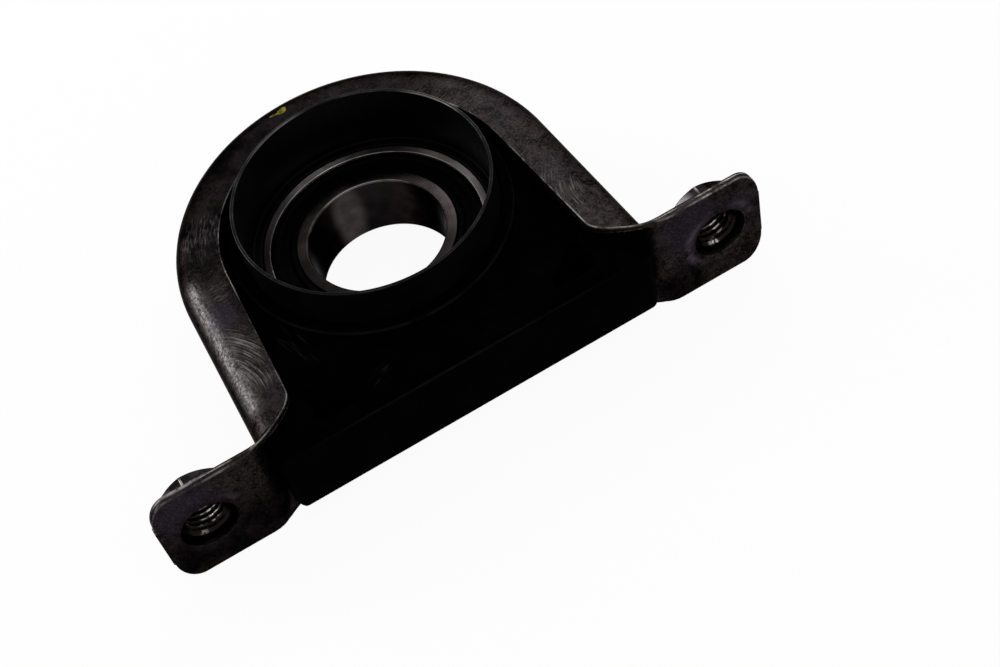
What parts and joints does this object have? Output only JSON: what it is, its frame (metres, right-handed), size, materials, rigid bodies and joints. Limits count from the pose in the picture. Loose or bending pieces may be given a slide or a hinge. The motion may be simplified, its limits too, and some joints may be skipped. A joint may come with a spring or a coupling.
{
  "type": "driveshaft centre bearing",
  "caption": "Sealed ball bearing with a dust shield, held in a moulded rubber cushion inside an arched steel channel bracket with bolt-down feet and weld nuts.",
  "frame": {"origin": "on the shaft axis, half way through the bearing", "axes": "+Z along the shaft towards the dust shield, +X from foot to foot, +Y from the feet to the arch top"},
  "size_m": [0.209, 0.1285, 0.0509],
  "materials": {
    "bracket_steel": "dark oiled stamped steel with swirl scuffs and worn edges",
    "nut_steel": "dark plated hex nut with bright corners",
    "cushion_rubber": "moulded black rubber",
    "retainer_steel": "black coated pressed steel with a worn rim",
    "ring_steel": "ground and polished bearing steel",
    "seal_rubber": "smooth black sealing rubber",
    "cage_steel": "pressed strip steel",
    "ball_steel": "polished bearing balls"
  },
  "bodies": {
    "housing": {"bracket": "bracket_steel", "left_weld_nut": "nut_steel", "right_weld_nut": "nut_steel", "rubber_cushion": "cushion_rubber", "bearing_retainer": "retainer_steel", "outer_ring": "ring_steel", "front_seal": "seal_rubber", "rear_seal": "seal_rubber"},
    "inner_race": {"inner_ring": "ring_steel"},
    "ball_cage": {"cage_front_half": "cage_steel", "cage_rear_half": "cage_steel", "cage_rivets": "cage_steel"},
    "rolling_ball_01": {"ball_01": "ball_steel"},
    "rolling_ball_02": {"ball_02": "ball_steel"},
    "rolling_ball_03": {"ball_03": "ball_steel"},
    "rolling_ball_04": {"ball_04": "ball_steel"},
    "rolling_ball_05": {"ball_05": "ball_steel"},
    "rolling_ball_06": {"ball_06": "ball_steel"},
    "rolling_ball_07": {"ball_07": "ball_steel"},
    "rolling_ball_08": {"ball_08": "ball_steel"},
    "rolling_ball_09": {"ball_09": "ball_steel"},
    "rolling_ball_10": {"ball_10": "ball_steel"},
    "rolling_ball_11": {"ball_11": "ball_steel"},
    "rolling_ball_12": {"ball_12": "ball_steel"}
  },
  "joints": [
    {"name": "inner_ring_spin", "type": "hinge", "parent": "housing", "child": "inner_race", "pos_m": [0, 0, 0], "axis": [0, 0, 1], "continuous": true},
    {"name": "cage_spin", "type": "hinge", "parent": "housing", "child": "ball_cage", "pos_m": [0, 0, 0], "axis": [0, 0, 1], "continuous": true},
    {"name": "ball_01_spin", "type": "hinge", "parent": "ball_cage", "child": "rolling_ball_01", "pos_m": [0.03, 0, 0], "axis": [0, 0, 1], "continuous": true},
    {"name": "ball_02_spin", "type": "hinge", "parent": "ball_cage", "child": "rolling_ball_02", "pos_m": [0.02598, 0.015, 0], "axis": [0, 0, 1], "continuous": true},
    {"name": "ball_03_spin", "type": "hinge", "parent": "ball_cage", "child": "rolling_ball_03", "pos_m": [0.015, 0.02598, 0], "axis": [0, 0, 1], "continuous": true},
    {"name": "ball_04_spin", "type": "hinge", "parent": "ball_cage", "child": "rolling_ball_04", "pos_m": [0, 0.03, 0], "axis": [0, 0, 1], "continuous": true},
    {"name": "ball_05_spin", "type": "hinge", "parent": "ball_cage", "child": "rolling_ball_05", "pos_m": [-0.015, 0.02598, 0], "axis": [0, 0, 1], "continuous": true},
    {"name": "ball_06_spin", "type": "hinge", "parent": "ball_cage", "child": "rolling_ball_06", "pos_m": [-0.02598, 0.015, 0], "axis": [0, 0, 1], "continuous": true},
    {"name": "ball_07_spin", "type": "hinge", "parent": "ball_cage", "child": "rolling_ball_07", "pos_m": [-0.03, 0, 0], "axis": [0, 0, 1], "continuous": true},
    {"name": "ball_08_spin", "type": "hinge", "parent": "ball_cage", "child": "rolling_ball_08", "pos_m": [-0.02598, -0.015, 0], "axis": [0, 0, 1], "continuous": true},
    {"name": "ball_09_spin", "type": "hinge", "parent": "ball_cage", "child": "rolling_ball_09", "pos_m": [-0.015, -0.02598, 0], "axis": [0, 0, 1], "continuous": true},
    {"name": "ball_10_spin", "type": "hinge", "parent": "ball_cage", "child": "rolling_ball_10", "pos_m": [0, -0.03, 0], "axis": [0, 0, 1], "continuous": true},
    {"name": "ball_11_spin", "type": "hinge", "parent": "ball_cage", "child": "rolling_ball_11", "pos_m": [0.015, -0.02598, 0], "axis": [0, 0, 1], "continuous": true},
    {"name": "ball_12_spin", "type": "hinge", "parent": "ball_cage", "child": "rolling_ball_12", "pos_m": [0.02598, -0.015, 0], "axis": [0, 0, 1], "continuous": true}
  ],
  "couplings": [
    {"joint": "cage_spin", "follows": "inner_ring_spin", "ratio": 0.42063},
    {"joint": "ball_01_spin", "follows": "inner_ring_spin", "ratio": -3.0702},
    {"joint": "ball_02_spin", "follows": "inner_ring_spin", "ratio": -3.0702},
    {"joint": "ball_03_spin", "follows": "inner_ring_spin", "ratio": -3.0702},
    {"joint": "ball_04_spin", "follows": "inner_ring_spin", "ratio": -3.0702},
    {"joint": "ball_05_spin", "follows": "inner_ring_spin", "ratio": -3.0702},
    {"joint": "ball_06_spin", "follows": "inner_ring_spin", "ratio": -3.0702},
    {"joint": "ball_07_spin", "follows": "inner_ring_spin", "ratio": -3.0702},
    {"joint": "ball_08_spin", "follows": "inner_ring_spin", "ratio": -3.0702},
    {"joint": "ball_09_spin", "follows": "inner_ring_spin", "ratio": -3.0702},
    {"joint": "ball_10_spin", "follows": "inner_ring_spin", "ratio": -3.0702},
    {"joint": "ball_11_spin", "follows": "inner_ring_spin", "ratio": -3.0702},
    {"joint": "ball_12_spin", "follows": "inner_ring_spin", "ratio": -3.0702}
  ]
}
